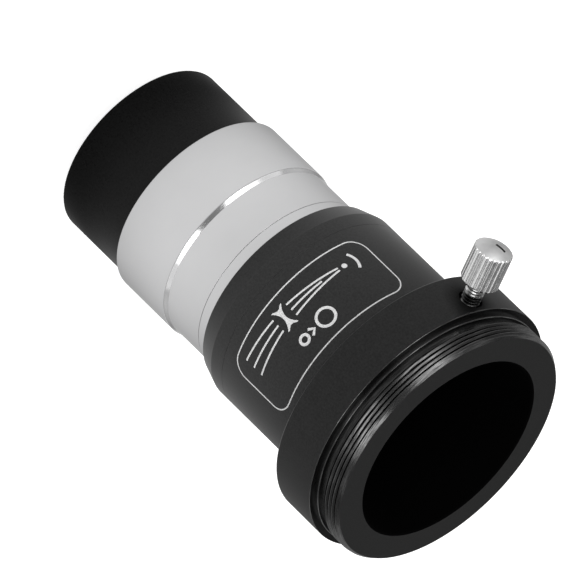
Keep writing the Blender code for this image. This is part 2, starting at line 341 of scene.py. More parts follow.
def thread_rows(thread, low, high, turn, limit, columns):
    """Rows of a helical thread between two heights, on the column at this part of a turn."""
    pitch, crest, root, origin = thread
    corners = len(THREAD_FORM)
    rows = {}
    for index in range(-2 * corners, corners * int((high - origin) / pitch + 3)):
        offset, rise = THREAD_FORM[index % corners]
        height = origin + pitch * (index // corners + offset + turn + 0.5 / columns)
        if low < height < high:
            rows[index] = (min(root + (crest - root) * rise, limit(height)), height)
    return rows


def no_limit(height):
    """Lets a thread keep its full crests at every height."""
    return float("inf")


def turned_bmesh(below, above=(), thread=None, low=0.0, high=0.0, limit=no_limit, columns=COLUMNS):
    """A solid turned from a closed outline, with a helical thread between its two plain parts."""
    bm = bmesh.new()
    rings = []
    for column in range(columns):
        rows = {("below", index): point for index, point in enumerate(below)}
        if thread:
            rows.update(thread_rows(thread, low, high, column / columns, limit, columns))
        rows.update({("above", index): point for index, point in enumerate(above)})
        turn = 2 * pi * column / columns
        rings.append({key: bm.verts.new((radius * MM * cos(turn), radius * MM * sin(turn), height * MM))
                      for key, (radius, height) in rows.items()})
    for left, right in zip(rings, rings[1:]):
        join_columns(bm, left, right)
    step = len(THREAD_FORM)
    wrapped = {key - step if isinstance(key, int) else key: vert for key, vert in rings[0].items()}
    join_columns(bm, rings[-1], wrapped)
    return bm


def spun_bmesh(outline, columns=COLUMNS):
    """A solid turned from an open outline that starts and ends on the axis."""
    bm = bmesh.new()
    verts = [bm.verts.new((radius * MM, 0.0, height * MM)) for radius, height in outline]
    edges = [bm.edges.new(pair) for pair in zip(verts, verts[1:])]
    bmesh.ops.spin(bm, geom=verts + edges, cent=(0, 0, 0), axis=(0, 0, 1),
                   angle=2 * pi, steps=columns, use_merge=True)
    bmesh.ops.remove_doubles(bm, verts=bm.verts, dist=1e-7)
    return bm


def make_piece(name, bm, materials, body, node, pick=None):
    """Link a bmesh as a smooth piece that rides on a body and stands for a CAD node."""
    bmesh.ops.recalc_face_normals(bm, faces=bm.faces)
    if pick:
        for face in bm.faces:
            face.material_index = pick(face)
    mesh = bpy.data.meshes.new(name)
    bm.to_mesh(mesh)
    bm.free()
    mesh.shade_smooth()
    mesh.set_sharp_from_angle(angle=SMOOTH_ANGLE)
    for material in materials:
        mesh.materials.append(material)
    piece = bpy.data.objects.new(name, mesh)
    bpy.context.scene.collection.objects.link(piece)
    level = piece.modifiers.new("weighted_normals", "WEIGHTED_NORMAL")
    level.keep_sharp = True
    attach(piece, body)
    if node:
        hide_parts(node)
    return piece


def cut_box(bm, size, matrix):
    """Cut a box of this size in millimetres, placed by a matrix in metres, out of a bmesh."""
    cutter_bm = bmesh.new()
    scale = Matrix.Diagonal((*(MM * side for side in size), 1.0))
    bmesh.ops.create_cube(cutter_bm, size=1.0, matrix=matrix @ scale)
    return cut_bmesh(bm, cutter_bm)


def cut_bmesh(bm, cutter_bm):
    """Cut one bmesh out of another, with both used up and the result returned."""
    objects = []
    for name, source in (("blank", bm), ("cutter", cutter_bm)):
        bmesh.ops.recalc_face_normals(source, faces=source.faces)
        mesh = bpy.data.meshes.new(name)
        source.to_mesh(mesh)
        source.free()
        thing = bpy.data.objects.new(name, mesh)
        bpy.context.scene.collection.objects.link(thing)
        objects.append(thing)
    blank, cutter = objects
    boolean = blank.modifiers.new("cut", "BOOLEAN")
    boolean.operation = "DIFFERENCE"
    boolean.solver = "EXACT"
    boolean.object = cutter
    bpy.context.view_layer.update()
    result = bmesh.new()
    result.from_object(blank, bpy.context.evaluated_depsgraph_get())
    for thing in objects:
        mesh = thing.data
        bpy.data.objects.remove(thing)
        bpy.data.meshes.remove(mesh)
    return result


def outwards(distance=0.0):
    """Frame whose Z runs out along the thumbscrew, at this distance off the optical axis."""
    place = Matrix.Translation((0, -distance * MM, SCREW_HEIGHT * MM))
    return place @ Matrix.Rotation(pi / 2, 4, "X")


# ---------------------------------------------------------------- materials

class Nodes:
    """A short way to wire up one material's node tree."""

    def __init__(self, name):
        self.material = bpy.data.materials.new(name)
        self.material.use_nodes = True
        self.tree = self.material.node_tree
        self.shader = self.tree.nodes["Principled BSDF"]

    def add(self, kind, **values):
        node = self.tree.nodes.new(kind)
        for key, value in values.items():
            if hasattr(node, key):
                setattr(node, key, value)
            else:
                node.inputs[key.replace("_", " ").title()].default_value = value
        return node

    def link(self, source, target):
        self.tree.links.new(source, target)

    def noise(self, vector, scale, detail=2.0, roughness=0.5):
        node = self.add("ShaderNodeTexNoise", Scale=scale, Detail=detail, Roughness=roughness)
        self.link(vector, node.inputs["Vector"])
        return node.outputs["Fac"]

    def spread(self, value, low, high, from_low=0.3, from_high=0.7):
        node = self.add("ShaderNodeMapRange")
        node.inputs["From Min"].default_value = from_low
        node.inputs["From Max"].default_value = from_high
        node.inputs["To Min"].default_value = low
        node.inputs["To Max"].default_value = high
        self.link(value, node.inputs["Value"])
        return node.outputs["Result"]

    def mix_colour(self, value, dark, light):
        node = self.add("ShaderNodeMix", data_type="RGBA")
        node.inputs[6].default_value = (*dark, 1.0)
        node.inputs[7].default_value = (*light, 1.0)
        self.link(value, node.inputs[0])
        return node.outputs[2]

    def maths(self, operation, first, second=None):
        node = self.add("ShaderNodeMath", operation=operation)
        for place, value in enumerate((first, second)):
            if value is None:
                continue
            if isinstance(value, (int, float)):
                node.inputs[place].default_value = value
            else:
                self.link(value, node.inputs[place])
        return node.outputs[0]

    def place(self):
        """Object coordinates in metres."""
        return self.add("ShaderNodeTexCoord").outputs["Object"]

    def lathe_place(self, wander=0.0):
        """Radius and height round the axis, so that a noise on them draws turning lines.

        The lines break up along their length when `wander` isn't 0.
        """
        split = self.add("ShaderNodeSeparateXYZ")
        self.link(self.place(), split.inputs[0])
        squares = [self.maths("POWER", split.outputs[name], 2.0) for name in "XY"]
        radius = self.maths("SQRT", self.maths("ADD", *squares))
        join = self.add("ShaderNodeCombineXYZ")
        drift = self.maths("MULTIPLY", split.outputs["X"], wander)
        self.link(self.maths("ADD", radius, drift), join.inputs[0])
        self.link(self.maths("MULTIPLY", split.outputs["Y"], wander), join.inputs[1])
        self.link(split.outputs["Z"], join.inputs[2])
        return join.outputs[0]

    def hole_shade(self, low, high, unshaded):
        """Painted shade on the collar's gloss: dim at the mouth of the thumbscrew's hole, full further out.
        """
        away = self.add("ShaderNodeVectorMath", operation="DISTANCE")
        self.link(self.place(), away.inputs[0])
        away.inputs[1].default_value = (0.0, -COLLAR_R * MM, SCREW_HEIGHT * MM)
        return self.spread(away.outputs["Value"], unshaded, 1.0, low * MM, high * MM)

    def thread_hole_shade(self, low, high, unshaded):
        """Painted shade on the stud: how bright it stays, from the hole's mouth outwards and from there in
        to its tip, where only the thread's roots stay darker.
        """
        split = self.add("ShaderNodeSeparateXYZ")
        self.link(self.place(), split.inputs[0])
        outward = self.maths("SUBTRACT", self.maths("MULTIPLY", split.outputs["Y"], -1.0), COLLAR_R * MM)
        outer = self.spread(outward, unshaded, 1.0, low * MM, high * MM)
        deep, mouth = THREAD_HOLE_SHADE_FADE
        inner = self.spread(outward, 1.0, CREST_SHINE, deep * MM, mouth * MM)
        beside = self.maths("POWER", split.outputs["X"], 2.0)
        above = self.maths("POWER", self.maths("SUBTRACT", split.outputs["Z"], SCREW_HEIGHT * MM), 2.0)
        radius = self.maths("SQRT", self.maths("ADD", beside, above))
        crest, root = STUD_THREAD[1], STUD_THREAD[2]
        on_crests = self.spread(radius, ROOT_SHINE, 1.0, root * MM, crest * MM)
        return self.maths("MAXIMUM", outer, self.maths("MULTIPLY", inner, on_crests))

    def bump(self, height, distance, strength=1.0, normal=None):
        node = self.add("ShaderNodeBump")
        node.inputs["Strength"].default_value = strength
        node.inputs["Distance"].default_value = distance
        self.link(height, node.inputs["Height"])
        if normal:
            self.link(normal, node.inputs["Normal"])
        return node.outputs["Normal"]

    def finish(self, **values):
        """Set or link the shader's inputs, whose names have underscores for spaces here."""
        for key, value in values.items():
            socket = self.shader.inputs[key.replace("_", " ")]
            if isinstance(value, bpy.types.NodeSocket):
                self.link(value, socket)
            else:
                socket.default_value = value
        return self.material


def grey(shade):
    return (shade, shade, shade)


def black_anodised(name, shade, shine, rough, hole_shade=None):
    """Bead-blasted, black anodised aluminium: a fine even grain with faint turning lines."""
    n = Nodes(name)
    grain = n.noise(n.place(), 9000.0, 2.0, 0.6)
    mottle = n.noise(n.place(), 3200.0, 3.0, 0.6)
    lines = n.noise(n.lathe_place(), 4000.0, 2.0)
    colour = n.mix_colour(n.spread(mottle, 0.0, 1.0), grey(0.75 * shade), grey(1.25 * shade))
    normal = n.bump(lines, 0.000002, 0.5, n.bump(grain, 0.000006, 0.7))
    gloss = n.spread(mottle, 0.84 * shine, 1.16 * shine)
    # Painted shade: the gloss is dimmed round the mouth of the thumbscrew's hole.
    if hole_shade:
        gloss = n.maths("MULTIPLY", gloss, n.hole_shade(*hole_shade))
    return n.finish(Base_Color=colour, Roughness=n.spread(mottle, rough - 0.04, rough + 0.04),
                    Normal=normal, Specular_IOR_Level=gloss)


def cut_black():
    """Black anodised over the cutter's marks: glossier, in fine rings of differing polish."""
    n = Nodes("cut_black_anodised")
    marks = n.noise(n.lathe_place(0.06), 4400.0, 3.0, 0.8)
    scratches = n.noise(n.lathe_place(), 26000.0, 2.0)
    return n.finish(Base_Color=(*grey(0.004), 1.0), Roughness=n.spread(marks, 0.15, 0.31, 0.38, 0.62),
                    Normal=n.bump(scratches, 0.000003, 0.6),
                    Specular_IOR_Level=n.spread(marks, 1.10, 0.26, 0.38, 0.62))


def matt_black():
    """Flat black paint on the inner walls, which keeps stray light down."""
    n = Nodes("matt_black")
    grain = n.noise(n.place(), 5000.0, 3.0)
    return n.finish(Base_Color=n.mix_colour(grain, grey(0.0003), grey(0.0007)), Roughness=0.95,
                    Normal=n.bump(grain, 0.000010, 0.6), Specular_IOR_Level=0.02)


def satin_chrome():
    """Satin chromed brass, with the fine lines left by turning."""
    n = Nodes("satin_chrome")
    lines = n.noise(n.lathe_place(), 6500.0, 3.0, 0.7)
    cloud = n.noise(n.place(), 260.0, 3.0)
    colour = n.mix_colour(n.spread(cloud, 0.0, 1.0), (0.638, 0.638, 0.643), (0.650, 0.650, 0.655))
    return n.finish(Base_Color=colour, Roughness=n.spread(lines, 0.29, 0.34),
                    Normal=n.bump(lines, 0.000001, 0.3), Metallic=1.0,
                    Specular_Tint=(*grey(0.62), 1.0))


def polished_chrome():
    """Brightly polished turned step on the nosepiece."""
    n = Nodes("polished_chrome")
    lines = n.noise(n.lathe_place(), 9000.0, 2.0)
    return n.finish(Base_Color=(0.74, 0.74, 0.745, 1.0), Roughness=n.spread(lines, 0.16, 0.22),
                    Metallic=1.0)


def bright_chrome(name, shade, rough, peel_depth, hole_shade=None):
    """Plated thumbscrew, with a soft, slightly orange-peeled polish, and painted shade on its stud near the
    hole.
    """
    n = Nodes(name)
    peel = n.noise(n.place(), 2600.0, 2.0)
    smear = n.noise(n.place(), 1100.0, 3.0)
    colour = n.mix_colour(n.spread(smear, 0.0, 1.0), grey(0.95 * shade), grey(1.05 * shade))
    # Painted shade: the stud's colour darkens near the hole's mouth and in its thread's roots.
    if hole_shade:
        dulled = n.add("ShaderNodeVectorMath", operation="SCALE")
        n.link(colour, dulled.inputs[0])
        n.link(n.thread_hole_shade(*hole_shade), dulled.inputs["Scale"])
        colour = dulled.outputs[0]
    return n.finish(Base_Color=colour, Roughness=n.spread(smear, rough - 0.04, rough + 0.04),
                    Normal=n.bump(peel, peel_depth * MM, 0.3), Metallic=1.0)


def slot_painted_shade():
    """Painted shade in the thumbscrew's driver slot: blotchy near-black colour."""
    n = Nodes("slot_painted_shade")
    clots = n.noise(n.place(), 4000.0, 3.0)
    return n.finish(Base_Color=n.mix_colour(clots, grey(0.002), grey(0.030)), Roughness=0.6,
                    Normal=n.bump(clots, 0.000010, 0.6), Specular_IOR_Level=0.2)


def white_ink():
    """Screen-printed white ink, a little uneven where it is thin."""
    n = Nodes("white_ink")
    thin = n.noise(n.place(), 3500.0, 3.0)
    return n.finish(Base_Color=n.mix_colour(n.spread(thin, 0.0, 1.0), grey(0.40), grey(0.52)),
                    Roughness=0.55, Normal=n.bump(thin, 0.000004, 0.4))


def coated_glass(name, index, film):
    """Polished optical glass with a thin anti-reflection film."""
    n = Nodes(name)
    dust = n.noise(n.place(), 700.0, 4.0)
    return n.finish(Base_Color=(0.97, 0.99, 0.98, 1.0), Roughness=n.spread(dust, 0.0, 0.02),
                    Transmission_Weight=1.0, IOR=index, Thin_Film_Thickness=film, Thin_Film_IOR=1.38)


BLACK = black_anodised("black_anodised", 0.0052, 0.42, 0.38)
# The collar and front face take a darker copy of the barrel's black as painted shade, and its gloss is
# dimmed round the thumbscrew's hole as painted shade too.
COLLAR_BLACK = black_anodised("collar_black_anodised", 0.0041, 0.33, 0.38, COLLAR_HOLE_SHADE)
CELL_BLACK = black_anodised("dull_black_anodised", 0.0012, 0.17, 0.30)
CUT_BLACK = cut_black()
MATT = matt_black()
SATIN = satin_chrome()
POLISHED = polished_chrome()
BRIGHT = bright_chrome("bright_chrome", 0.72, 0.20, 0.002)
BRIGHT_DOME = bright_chrome("soft_chrome", 0.66, 0.52, 0.012)
# The stud's chrome is a darker copy of the head's, as painted shade, with more painted shade near the
# hole's mouth and in the thread's roots.
BRIGHT_THREAD = bright_chrome("bright_chrome_thread", 0.59, 0.165, 0.002, THREAD_HOLE_SHADE)
SLOT_SHADE = slot_painted_shade()
WHITE_INK = white_ink()


# ---------------------------------------------------------------- the turned pieces

def inside(radius):
    """Pick the second material for faces whose middle is inside this radius."""
    return lambda face: 1 if face.calc_center_median().xy.length < radius * MM else 0


def lens_cell():
    """The black cell at the telescope end, with its mouth, lens bore and threaded spigot."""
    after_rim, before_end = CELL_THREAD_ENDS
    thread_low, thread_high = CELL_TOP + after_rim, CELL_SPIGOT_TOP - before_end
    root = CELL_THREAD[2]
    below = soften([
        (RING_BORE_R, CELL_MOUTH_CHAMFER, FINE_FILLET),
        (RING_BORE_R + CELL_MOUTH_CHAMFER, CELL_FRONT, CELL_MOUTH_FILLET),
        (CELL_R, CELL_FRONT, CELL_RIM_FILLET), (CELL_R, CELL_TOP, SMALL_FILLET),
        (root, CELL_TOP), (root, thread_low)])
    above = soften([
        (root, thread_high), (root - CELL_SPIGOT_CHAMFER, CELL_SPIGOT_TOP, FINE_FILLET),
        (LIGHT_PATH_R, CELL_SPIGOT_TOP, SMALL_FILLET), (LIGHT_PATH_R, LENS_SEAT, FINE_FILLET),
        (LENS_BORE_R, LENS_SEAT), (LENS_BORE_R, RING_BORE_END, FINE_FILLET),
        (RING_BORE_R, RING_BORE_END)])
    bm = turned_bmesh(below, above, CELL_THREAD, thread_low, thread_high)
    make_piece("cell_shell", bm, (CELL_BLACK, MATT), "lens_cell", "lens_cell_housing",
               inside(RING_BORE_R - ON_WALL))


def retaining_ring():
    """The ring that holds the doublet in, with a spanner slot across its front."""
    outline = soften([
        (RING_R, RING_FRONT, EDGE_FILLET), (RING_R, RING_TOP, FINE_FILLET),
        (RING_HOLE_R, RING_TOP, FINE_FILLET), (RING_HOLE_R, RING_FRONT, SOCKET_FILLET)])
    width, depth = SPANNER_SLOT
    bm = cut_box(turned_bmesh(outline), (width, 3 * RING_R, 2 * depth),
                 Matrix.Translation((0, 0, RING_FRONT * MM)))
    make_piece("cell_ring", bm, (CELL_BLACK,), "lens_cell", "lens_retaining_ring")


def sag(radius, curve_radius):
    """How far a spherical surface drops at this radius."""
    return curve_radius - sqrt(curve_radius ** 2 - radius ** 2)


def lens_surface(apex, curve_radius):
    """Points from the axis to the edge of a spherical surface; the sign says which way it bends."""
    sign = 1 if curve_radius > 0 else -1
    radii = [LENS_R * step / CURVE_STEPS for step in range(CURVE_STEPS + 1)]
    return [(radius, apex + sign * sag(radius, abs(curve_radius))) for radius in radii]


def doublet():
    """The hollow crown element and the flint element behind it."""
    front = LENS_FRONT_EDGE + sag(LENS_R, FRONT_CURVE_R)
    cemented = front + CROWN_THICKNESS
    rear = cemented + CEMENT_GAP + FLINT_THICKNESS
    crown = lens_surface(front, -FRONT_CURVE_R) + lens_surface(cemented, CEMENTED_CURVE_R)[::-1]
    flint = lens_surface(cemented + CEMENT_GAP, CEMENTED_CURVE_R) + lens_surface(rear, REAR_CURVE_R)[::-1]
    crown_glass = coated_glass("crown_glass", 1.517, 120.0)
    flint_glass = coated_glass("flint_glass", 1.620, 95.0)
    make_piece("crown_glass", spun_bmesh(crown), (crown_glass,), "doublet", "crown_lens_element")
    make_piece("flint_glass", spun_bmesh(flint), (flint_glass,), "doublet", "flint_lens_element")


def nosepiece():
    """The silver push-in tube, with its polished step and the spigot behind it."""
    step_start, step_end = NOSE_STEP
    socket_r = CELL_SPIGOT_R + FIT
    outline = soften([
        (socket_r, NOSE_FRONT, SOCKET_FILLET), (NOSE_R, NOSE_FRONT, EDGE_FILLET),
        (NOSE_R, step_start, NOSE_STEP_FILLET), (UNDERCUT_R, step_end, EDGE_FILLET),
        (UNDERCUT_R, NOSE_SHOULDER, HAIR_FILLET), (NOSE_SPIGOT_R, NOSE_SHOULDER),
        (NOSE_SPIGOT_R, NOSE_SPIGOT_TOP, NOSE_END_FILLET), (NOSE_BORE_R, NOSE_SPIGOT_TOP, SMALL_FILLET),
        (NOSE_BORE_R, CELL_SOCKET_DEPTH, FINE_FILLET), (socket_r, CELL_SOCKET_DEPTH)])

    def pick(face):
        """Satin outside 0, inner walls 1, the polished step 2."""
        middle = face.calc_center_median() / MM
        if middle.xy.length < socket_r - ON_WALL:
            return 1
        near_step = abs(middle.z - (step_start + step_end) / 2) < STEP_REACH
        return 2 if near_step and face.normal.z > STEP_SLOPE else 0

    make_piece("nose_tube", turned_bmesh(outline), (SATIN, MATT, POLISHED), "barlow_body", "nosepiece",
               pick)


def stop_ring():
    """The narrow silver ring between the nosepiece and the cone."""
    inner = NOSE_SPIGOT_R + FIT
    outline = soften([
        (inner, RING_SEAM), (UNDERCUT_R, RING_SEAM, HAIR_FILLET), (UNDERCUT_R, STOP_TOP, STOP_RING_FILLET),
        (inner, STOP_TOP)])
    make_piece("stop_ring", turned_bmesh(outline), (SATIN,), "barlow_body", "nosepiece_stop_ring")


def reducer():
    """The black cone that widens to the barrel, with the socket and the spigot inside."""
    socket_top = NOSE_SPIGOT_TOP + SOCKET_CLEARANCE
    socket_r = NOSE_SPIGOT_R + FIT
    outline = soften([
        (socket_r, REDUCER_FRONT), (CONE_FRONT_R, REDUCER_FRONT, FINE_FILLET),
        (BARREL_R, CONE_TOP, CONE_FILLET), (BARREL_R, REDUCER_TOP, SEAM_FILLET),
        (REDUCER_SPIGOT_R, REDUCER_TOP), (REDUCER_SPIGOT_R, REDUCER_SPIGOT_TOP, SMALL_FILLET),
        (REDUCER_BORE_R, REDUCER_SPIGOT_TOP, REDUCER_BORE_FILLET),
        (REDUCER_BORE_R, socket_top), (socket_r, socket_top)])
    make_piece("reducer_cone", turned_bmesh(outline), (BLACK, MATT), "barlow_body", "body_reducer",
               inside(REDUCER_SPIGOT_R - FIT))


def chamfer_limit(height):
    """Largest radius that the lead-in chamfer leaves to the T thread at this height."""
    share = (height - T_CHAMFER_START) / (BARREL_TOP - T_CHAMFER_START)
    return T_THREAD[1] + (T_FACE_R - T_THREAD[1]) * max(share, 0.0)


def screw_hole():
    """The thumbscrew's hole and its countersink, as a solid to cut out of the collar."""
    sink = HOLE_SINK
    near, far = HOLE_REACH
    hole = spun_bmesh([(0.0, near), (HOLE_R, near), (HOLE_R, COLLAR_R - sink),
                       (HOLE_R + 2 * sink, COLLAR_R + sink), (HOLE_R + 2 * sink, far), (0.0, far)],
                      HOLE_COLUMNS)
    hole.transform(outwards())
    return hole


def barrel():
    """The rear barrel with its collar, its camera thread and the eyepiece socket."""
    root = T_THREAD[2]
    socket_r = REDUCER_SPIGOT_R + FIT
    stop = REDUCER_SPIGOT_TOP + FIT
    mouth_r = EYEPIECE_BORE_R + SOCKET_CHAMFER
    below = soften([
        (socket_r, BARREL_FRONT), (BARREL_R, BARREL_FRONT, SEAM_FILLET), (BARREL_R, COLLAR_BACK),
        (COLLAR_R, COLLAR_BACK, COLLAR_BACK_FILLET), (COLLAR_R, COLLAR_FRONT, COLLAR_FRONT_FILLET),
        (LAND_R, COLLAR_FRONT), (LAND_R, LAND_TOP, LAND_FILLET), (GROOVE_R, LAND_TOP),
        (GROOVE_R, GROOVE_TOP), (root, T_START)])
    above = soften([
        (T_FACE_R, BARREL_TOP), (mouth_r, BARREL_TOP, MOUTH_FILLET),
        (EYEPIECE_BORE_R, BARREL_TOP - SOCKET_CHAMFER, SMALL_FILLET), (EYEPIECE_BORE_R, stop, FINE_FILLET),
        (socket_r, stop)])

    def pick(face):
        """Barrel 0, inner walls 1, cut edges 2, collar 3, shoulder 4.  The thread's roots, its downward
        flanks and the screw hole's walls take 1, the collar and front face a darker black (3) and the
        shoulder a dull black (4), all as painted shade.
        """
        middle = face.calc_center_median() / MM
        radius = middle.xy.length
        from_screw = Vector((middle.x, middle.z - SCREW_HEIGHT)).length
        in_hole = from_screw < HOLE_R + HOLE_SINK and abs(face.normal.y) < HOLE_WALL
        # The screw hole's walls and countersink take the matt black as painted shade.
        if radius < mouth_r or (in_hole and middle.y < -EYEPIECE_BORE_R):
            return 1
        if middle.z < COLLAR_BACK - ON_LEVEL:
            return 0
        if middle.z < COLLAR_FRONT - CUT_EDGE or middle.z > BARREL_TOP - ON_LEVEL:
            return 3
        # The shoulder takes the dull black as painted shade.
        if face.normal.z > FACING_UP and middle.z < T_START:
            return 4
        in_thread = T_START < middle.z < T_CHAMFER_START
        # Painted shade: the thread's roots and downward flanks take the matt black.
        in_shade = face.normal.z < FACING_DOWN or radius < root + ON_WALL
        return 1 if in_thread and in_shade else 2

    bm = turned_bmesh(below, above, T_THREAD, T_START, BARREL_TOP, chamfer_limit)
    bm = cut_bmesh(bm, screw_hole())
    make_piece("rear_barrel", bm, (BLACK, MATT, CUT_BLACK, COLLAR_BLACK, CELL_BLACK), "barlow_body",
               "body_barrel", pick)


# ---------------------------------------------------------------- the thumbscrew

def stud_piece():
    """The stud, pointed at its tip, with its thread up to just inside the head."""
    root = STUD_THREAD[2]
    point_step, point_length = STUD_POINT
    low, high = STUD_TIP + point_length, HEAD_START + THREAD_INTO_HEAD
    bm = bmesh.new()
    columns = STUD_COLUMNS
    rings = []
    tip = bm.verts.new((0, 0, STUD_TIP * MM))
    end = bm.verts.new((0, 0, STUD_END * MM))
    for column in range(columns):
        rows = {"tip": (root - point_step, STUD_TIP), "start": (root, low)}
        rows.update(thread_rows(STUD_THREAD, low, high, column / columns, no_limit, columns))
        rows.update({"stop": (root, high), "end": (root, STUD_END)})
        turn = 2 * pi * column / columns
        ring = {key: bm.verts.new((radius * MM * cos(turn), radius * MM * sin(turn), height * MM))
                for key, (radius, height) in rows.items()}
        rings.append(ring)
    step = len(THREAD_FORM)
    for index, left in enumerate(rings):
        right = rings[(index + 1) % columns]
        if index == columns - 1:
            right = {key - step if isinstance(key, int) else key: vert for key, vert in right.items()}
        join_open_columns(bm, left, right)
        bm.faces.new((tip, right["tip"], left["tip"]))
        bm.faces.new((end, left["end"], right["end"]))
    bm.transform(outwards())
    make_piece("screw_thread", bm, (BRIGHT_THREAD,), "screw_stud", "thumbscrew_stud")


def join_open_columns(bm, left, right):
    """As join_columns, for outlines that don't come back to their first row."""
    left_keys, right_keys = list(left), list(right)
    right_place = {key: place for place, key in enumerate(right_keys)}
    left_place = {key: place for place, key in enumerate(left_keys)}
    shared = [key for key in left_keys if key in right_place]
    for low, high in zip(shared, shared[1:]):
        near = [left[key] for key in left_keys[left_place[low]:left_place[high] + 1]]
        far = [right[key] for key in right_keys[right_place[low]:right_place[high] + 1]]
        bm.faces.new(near + far[::-1])


def knurl_radius(share):
    """Radius of the straight knurl at this share of the way from one groove to the next."""
    away = min(share, 1 - share) / (GROOVE_SHARE / 2)
    dip = (1 + cos(pi * away)) / 2 if away < 1 else 0.0
    crown = RIDGE_CROWN * (abs(share - 0.5) / 0.5) ** 2
    return HEAD_R - GROOVE_DEPTH * dip ** GROOVE_FORM - crown


def dome_height(radius):
    """Height of the dome's surface at this distance from the thumbscrew's axis."""
    curve_radius = (HEAD_R ** 2 + DOME_RISE ** 2) / (2 * DOME_RISE)
    return DOME_START + DOME_RISE - sag(radius, curve_radius)


def head_rows(rim):
    """One column of the thumbscrew head, from its pocket to the last ring of its dome.

    The knurl's long faces end in short rows, which keep the ridges' shading straight along them.
    """
    run, rise = HEAD_CHAMFER
    foot = HEAD_R - run
    foot_in, foot_up = FOOT_EDGE
    slope_end = HEAD_START + (rim - foot) * rise / run
    dome_end = dome_height(rim)
    near, far = SHORT_ROWS
    edge_in, edge_down = DOME_EDGE
    rows = [(POCKET_R, STUD_END + POCKET_ROOM), (POCKET_R, HEAD_START + POCKET_CHAMFER),
            (POCKET_R + POCKET_CHAMFER, HEAD_START), (foot - foot_in, HEAD_START),
            (foot, HEAD_START + foot_up), (rim, slope_end), (rim, slope_end + near),
            (rim, slope_end + far), (rim, dome_end - far), (rim, dome_end - near),
            (rim - edge_in, dome_end - edge_down)]
    outer, inner = DOME_RIM_RINGS
    radii = [rim - outer] + [(rim - inner) * (1 - step / DOME_RINGS) for step in range(DOME_RINGS)]
    return rows + [(radius, dome_height(radius)) for radius in radii]


def screw_head():
    """The knurled head, with its pocket for the stud and its driver slot."""
    bm = bmesh.new()
    total = RIDGES * COLUMNS_PER_RIDGE
    columns = []
    for index in range(total):
        turn = 2 * pi * index / total + GROOVE_TURN
        rim = knurl_radius(index % COLUMNS_PER_RIDGE / COLUMNS_PER_RIDGE)
        columns.append([bm.verts.new((radius * MM * cos(turn), radius * MM * sin(turn), height * MM))
                        for radius, height in head_rows(rim)])
    apex = bm.verts.new((0, 0, dome_height(0) * MM))
    pocket_end = bm.verts.new((0, 0, (STUD_END + POCKET_ROOM) * MM))
    for left, right in zip(columns, columns[1:] + columns[:1]):
        for low in range(len(left) - 1):
            bm.faces.new((left[low], right[low], right[low + 1], left[low + 1]))
        bm.faces.new((left[-1], right[-1], apex))
        bm.faces.new((right[0], left[0], pocket_end))
    bm.transform(outwards())
    width, depth = DRIVER_SLOT
    slot_frame = (outwards(dome_height(0)) @ Matrix.Rotation(DRIVER_SLOT_TURN, 4, "Z")
                  @ Matrix.Rotation(DRIVER_SLOT_TILT, 4, "Y")
                  @ Matrix.Translation((0, 0, (DOME_RISE - depth) * MM)))
    bm = cut_box(bm, (3 * HEAD_R, width, 2 * DOME_RISE), slot_frame)

    def pick(face):
        """Knurl and underside 0, the driver slot's floor and walls with painted shade 1, dome 2."""
        middle = face.calc_center_median() / MM
        radius = Vector((middle.x, middle.z - SCREW_HEIGHT)).length
        deep = -middle.y < dome_height(radius) - SLOT_SHADE_DEPTH
        if deep and radius < SLOT_SHADE_REACH * HEAD_R and -middle.y > DOME_START:
            return 1
        return 2 if face.normal.y < FACING_OUT and -middle.y > DOME_START else 0

    make_piece("screw_knob", bm, (BRIGHT, SLOT_SHADE, BRIGHT_DOME), "screw_head", "thumbscrew_head",
               pick)


# ---------------------------------------------------------------- the printed badge

def wrap(point, lift):
    """A point of the flat badge, (across, down towards the eyepiece), laid on the barrel."""
    across, along = point
    turn = BADGE_TURN + across / BARREL_R
    radius = (BARREL_R + lift) * MM
    return Vector((radius * cos(turn), radius * sin(turn), (BADGE_HEIGHT + along) * MM))


def ribbon(bm, path, widths, closed=False):
    """A flat printed line along a path on the badge, of one width or of a width for each point."""
    count = len(path)
    spots = [Vector(point) for point in path]
    if isinstance(widths, float):
        widths = [widths] * count
    low, high = INK
    rings = []
    for index, (here, width) in enumerate(zip(spots, widths)):
        before = spots[index - 1] if closed or index else here
        after = spots[(index + 1) % count] if closed or index < count - 1 else here
        heading = ((here - before).normalized() + (after - here).normalized()).normalized()
        across = Vector((-heading.y, heading.x)) * width / 2
        corners = ((here - across, low), (here + across, low), (here + across, high), (here - across, high))
        rings.append([bm.verts.new(wrap(spot, lift)) for spot, lift in corners])
    pairs = list(zip(rings, rings[1:])) + ([(rings[-1], rings[0])] if closed else [])
    for one, two in pairs:
        for corner in range(4):
            following = (corner + 1) % 4
            bm.faces.new((one[corner], one[following], two[following], two[corner]))
    if not closed:
        bm.faces.new(rings[0][::-1])
        bm.faces.new(rings[-1])


def line(start, stop, step=BADGE_STEP):
    """Evenly spaced points from one spot to another."""
    start, stop = Vector(start), Vector(stop)
    count = max(1, round((stop - start).length / step))
    return [tuple(start.lerp(stop, index / count)) for index in range(count + 1)]


def arc(middle, radius, start, stop, steps=16):
    """Points along an arc round a middle, from one angle to another."""
    turns = [start + (stop - start) * step / steps for step in range(steps + 1)]
    return [(middle[0] + radius * cos(turn), middle[1] + radius * sin(turn)) for turn in turns]


def ring_path(middle, radius):
    """A closed path round a circle."""
    return arc(middle, radius, 0, 2 * pi, steps=48)[:-1]


